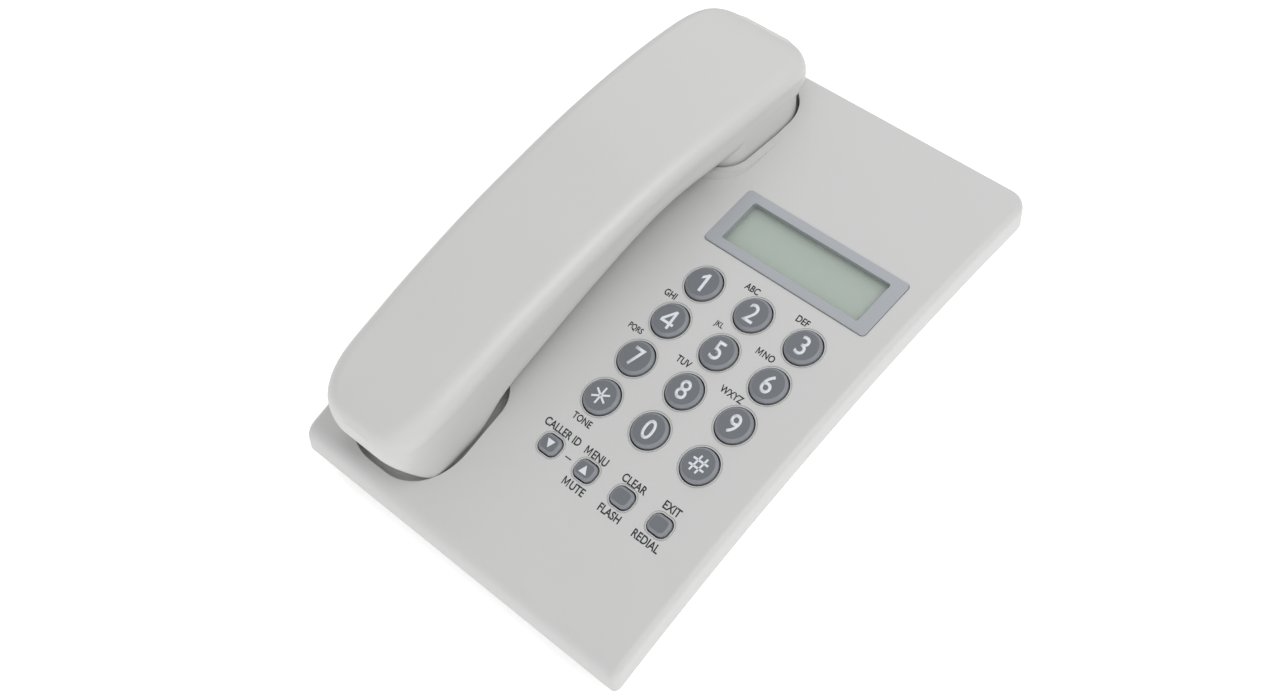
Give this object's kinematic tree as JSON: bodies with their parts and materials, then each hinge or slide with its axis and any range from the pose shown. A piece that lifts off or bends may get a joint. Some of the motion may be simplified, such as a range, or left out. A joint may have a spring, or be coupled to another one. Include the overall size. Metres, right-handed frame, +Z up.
{
  "type": "corded telephone",
  "caption": "Sloping desk telephone with a full-length handset at the left, a keypad, a row of function buttons and a small display.",
  "frame": {"origin": "centre of the footprint, at the level of the table under the feet", "axes": "+X to the keypad side, +Y to the back (the ear end), +Z up"},
  "size_m": [0.15, 0.205, 0.0884],
  "materials": {
    "housing_plastic": "fine matt",
    "handset_plastic": "satin",
    "key_plastic": "satin",
    "bezel_plastic": "satin silver paint",
    "clear_lens": "clear",
    "lcd_glass": "satin",
    "rubber": "matt",
    "circuit_board": "solder mask",
    "steel": "plain",
    "dark_plastic": "moulded",
    "brass": "plain"
  },
  "bodies": {
    "base": {"top_housing": "housing_plastic", "bottom_housing": "housing_plastic", "display_bezel": "bezel_plastic", "display_lens": "clear_lens", "lcd_panel": "lcd_glass", "keypad_mat": "rubber", "main_circuit_board": "circuit_board", "board_screws": "steel", "hook_switch": "dark_plastic", "hook_board": "circuit_board", "hook_board_screws": "steel", "line_jack": "dark_plastic", "base_cord_jack": "dark_plastic", "switch_bodies": "steel", "ringer_buzzer": "brass", "battery_cells": "dark_plastic", "battery_contacts": "steel", "rubber_feet": "rubber", "base_screws": "steel"},
    "handset": {"handset_outer_shell": "handset_plastic", "handset_inner_shell": "handset_plastic", "handset_screws": "steel", "handset_jack": "dark_plastic", "receiver_capsule": "brass", "receiver_seal": "rubber", "microphone_capsule": "steel", "microphone_boot": "rubber", "handset_weight": "steel"},
    "hook_plunger": {"hook_plunger": "housing_plastic"},
    "hanger_tab": {"hanger_tab": "housing_plastic"},
    "battery_door": {"battery_door": "housing_plastic"},
    "ringer_switch": {"ringer_switch_knob": "dark_plastic"},
    "dial_mode_switch": {"dial_mode_switch_knob": "dark_plastic"},
    "key_1": {"key_1": "key_plastic"},
    "key_2": {"key_2": "key_plastic"},
    "key_3": {"key_3": "key_plastic"},
    "key_4": {"key_4": "key_plastic"},
    "key_5": {"key_5": "key_plastic"},
    "key_6": {"key_6": "key_plastic"},
    "key_7": {"key_7": "key_plastic"},
    "key_8": {"key_8": "key_plastic"},
    "key_9": {"key_9": "key_plastic"},
    "key_star": {"key_star": "key_plastic"},
    "key_0": {"key_0": "key_plastic"},
    "key_hash": {"key_hash": "key_plastic"},
    "button_down": {"button_down": "key_plastic"},
    "button_up": {"button_up": "key_plastic"},
    "button_flash": {"button_flash": "key_plastic"},
    "button_redial": {"button_redial": "key_plastic"}
  },
  "joints": [
    {"name": "handset_lift", "type": "slide", "parent": "base", "child": "handset", "axis": [0, 0, 1], "range_m": [0, 0.15]},
    {"name": "hook_plunger_rise", "type": "slide", "parent": "base", "child": "hook_plunger", "axis": [0, 0, 1], "range_m": [0, 0.004]},
    {"name": "hanger_tab_slide", "type": "slide", "parent": "base", "child": "hanger_tab", "axis": [0, 0, 1], "range_m": [0, 0.0035]},
    {"name": "battery_door_slide", "type": "slide", "parent": "base", "child": "battery_door", "axis": [0, -1, 0], "range_m": [0, 0.006]},
    {"name": "ringer_switch_slide", "type": "slide", "parent": "base", "child": "ringer_switch", "axis": [1, 0, 0], "range_m": [-0.002, 0.002]},
    {"name": "dial_mode_switch_slide", "type": "slide", "parent": "base", "child": "dial_mode_switch", "axis": [1, 0, 0], "range_m": [-0.002, 0.002]},
    {"name": "key_1_press", "type": "slide", "parent": "base", "child": "key_1", "axis": [0, 0.2464, -0.9692], "range_m": [0, 0.0015], "stiffness_N_per_m": 400, "springref_m": -0.0004},
    {"name": "key_2_press", "type": "slide", "parent": "base", "child": "key_2", "axis": [0, 0.2464, -0.9692], "range_m": [0, 0.0015], "stiffness_N_per_m": 400, "springref_m": -0.0004},
    {"name": "key_3_press", "type": "slide", "parent": "base", "child": "key_3", "axis": [0, 0.2464, -0.9692], "range_m": [0, 0.0015], "stiffness_N_per_m": 400, "springref_m": -0.0004},
    {"name": "key_4_press", "type": "slide", "parent": "base", "child": "key_4", "axis": [0, 0.2694, -0.963], "range_m": [0, 0.0015], "stiffness_N_per_m": 400, "springref_m": -0.0004},
    {"name": "key_5_press", "type": "slide", "parent": "base", "child": "key_5", "axis": [0, 0.2694, -0.963], "range_m": [0, 0.0015], "stiffness_N_per_m": 400, "springref_m": -0.0004},
    {"name": "key_6_press", "type": "slide", "parent": "base", "child": "key_6", "axis": [0, 0.2694, -0.963], "range_m": [0, 0.0015], "stiffness_N_per_m": 400, "springref_m": -0.0004},
    {"name": "key_7_press", "type": "slide", "parent": "base", "child": "key_7", "axis": [0, 0.2923, -0.9563], "range_m": [0, 0.0015], "stiffness_N_per_m": 400, "springref_m": -0.0004},
    {"name": "key_8_press", "type": "slide", "parent": "base", "child": "key_8", "axis": [0, 0.2923, -0.9563], "range_m": [0, 0.0015], "stiffness_N_per_m": 400, "springref_m": -0.0004},
    {"name": "key_9_press", "type": "slide", "parent": "base", "child": "key_9", "axis": [0, 0.2923, -0.9563], "range_m": [0, 0.0015], "stiffness_N_per_m": 400, "springref_m": -0.0004},
    {"name": "key_star_press", "type": "slide", "parent": "base", "child": "key_star", "axis": [0, 0.315, -0.9491], "range_m": [0, 0.0015], "stiffness_N_per_m": 400, "springref_m": -0.0004},
    {"name": "key_0_press", "type": "slide", "parent": "base", "child": "key_0", "axis": [0, 0.315, -0.9491], "range_m": [0, 0.0015], "stiffness_N_per_m": 400, "springref_m": -0.0004},
    {"name": "key_hash_press", "type": "slide", "parent": "base", "child": "key_hash", "axis": [0, 0.315, -0.9491], "range_m": [0, 0.0015], "stiffness_N_per_m": 400, "springref_m": -0.0004},
    {"name": "button_down_press", "type": "slide", "parent": "base", "child": "button_down", "axis": [0, 0.3445, -0.9388], "range_m": [0, 0.0015], "stiffness_N_per_m": 400, "springref_m": -0.0004},
    {"name": "button_up_press", "type": "slide", "parent": "base", "child": "button_up", "axis": [0, 0.3445, -0.9388], "range_m": [0, 0.0015], "stiffness_N_per_m": 400, "springref_m": -0.0004},
    {"name": "button_flash_press", "type": "slide", "parent": "base", "child": "button_flash", "axis": [0, 0.3445, -0.9388], "range_m": [0, 0.0015], "stiffness_N_per_m": 400, "springref_m": -0.0004},
    {"name": "button_redial_press", "type": "slide", "parent": "base", "child": "button_redial", "axis": [0, 0.3445, -0.9388], "range_m": [0, 0.0015], "stiffness_N_per_m": 400, "springref_m": -0.0004}
  ],
  "couplings": [
    {"joint": "hook_plunger_rise", "follows": "handset_lift", "ratio": 0.0266}
  ]
}
